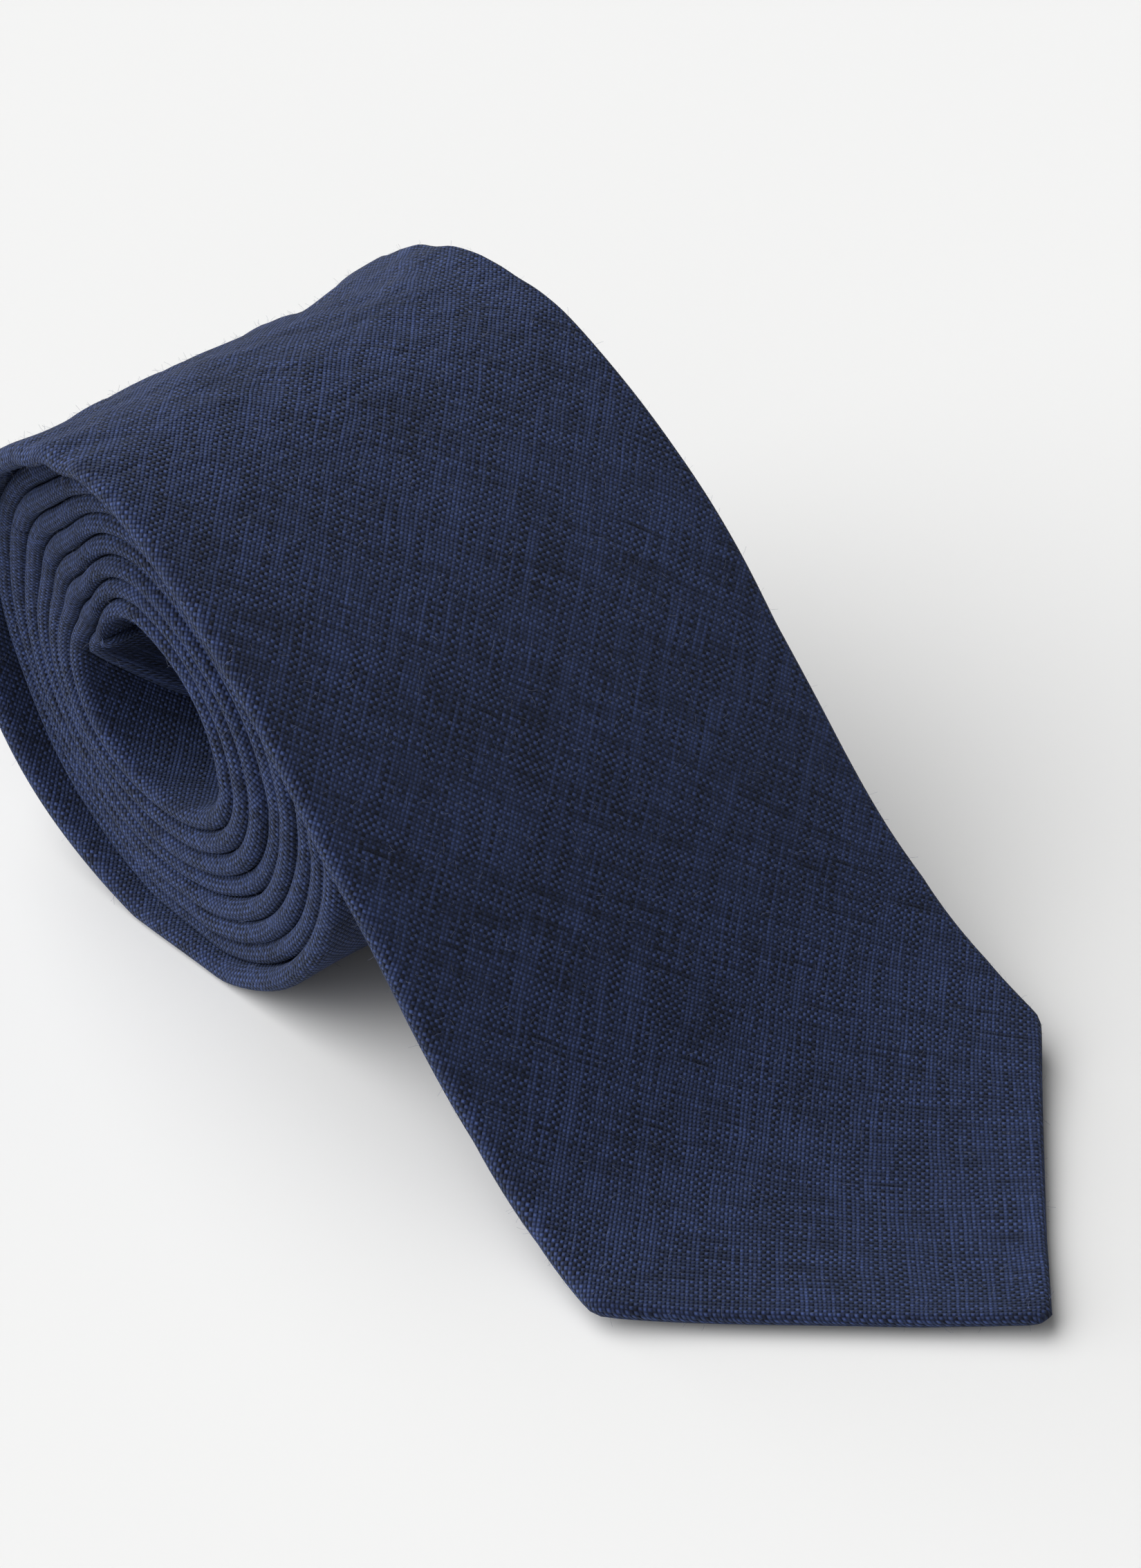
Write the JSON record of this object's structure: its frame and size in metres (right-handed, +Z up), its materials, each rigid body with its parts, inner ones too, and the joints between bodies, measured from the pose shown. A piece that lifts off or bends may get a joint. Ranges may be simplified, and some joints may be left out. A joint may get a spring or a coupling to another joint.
{
  "type": "rolled necktie",
  "caption": "Navy linen necktie rolled up from its tail, with the pointed front blade arching from the top of the roll down to the table.",
  "frame": {"origin": "middle of the whole tie's outline, on the table that it rests on", "axes": "+X from the roll towards the front blade's tip, +Y across the tie to the right of someone who looks from the roll's open eye side at the front blade with the tip to the right, +Z up"},
  "size_m": [0.1708, 0.0798, 0.0749],
  "materials": {
    "shell_cloth": "matt plain-weave navy linen with slubs",
    "interlining": "napped wool-blend canvas",
    "tipping": "smooth navy lining with a slight sheen",
    "thread": "twisted navy sewing thread"
  },
  "bodies": {
    "roll": {"front_shell_roll": "shell_cloth", "neck_shell": "shell_cloth", "tail_shell": "shell_cloth", "front_interlining_roll": "interlining", "tail_interlining": "interlining", "interlining_join": "thread", "tail_tipping": "tipping", "slip_stitch_roll": "thread", "tail_bar_tack": "thread", "front_neck_seam": "thread", "neck_tail_seam": "thread", "keeper_loop": "shell_cloth", "keeper_tacks": "thread"},
    "blade": {"front_shell_blade": "shell_cloth", "front_interlining_blade": "interlining", "front_tipping": "tipping", "front_bar_tack": "thread", "slip_stitch_blade": "thread"}
  },
  "joints": [
    {"name": "blade_lift", "type": "hinge", "parent": "roll", "child": "blade", "pos_m": [-0.03157, 0, 0.06922], "axis": [0, -1, 0], "range_deg": [0, 70]}
  ]
}
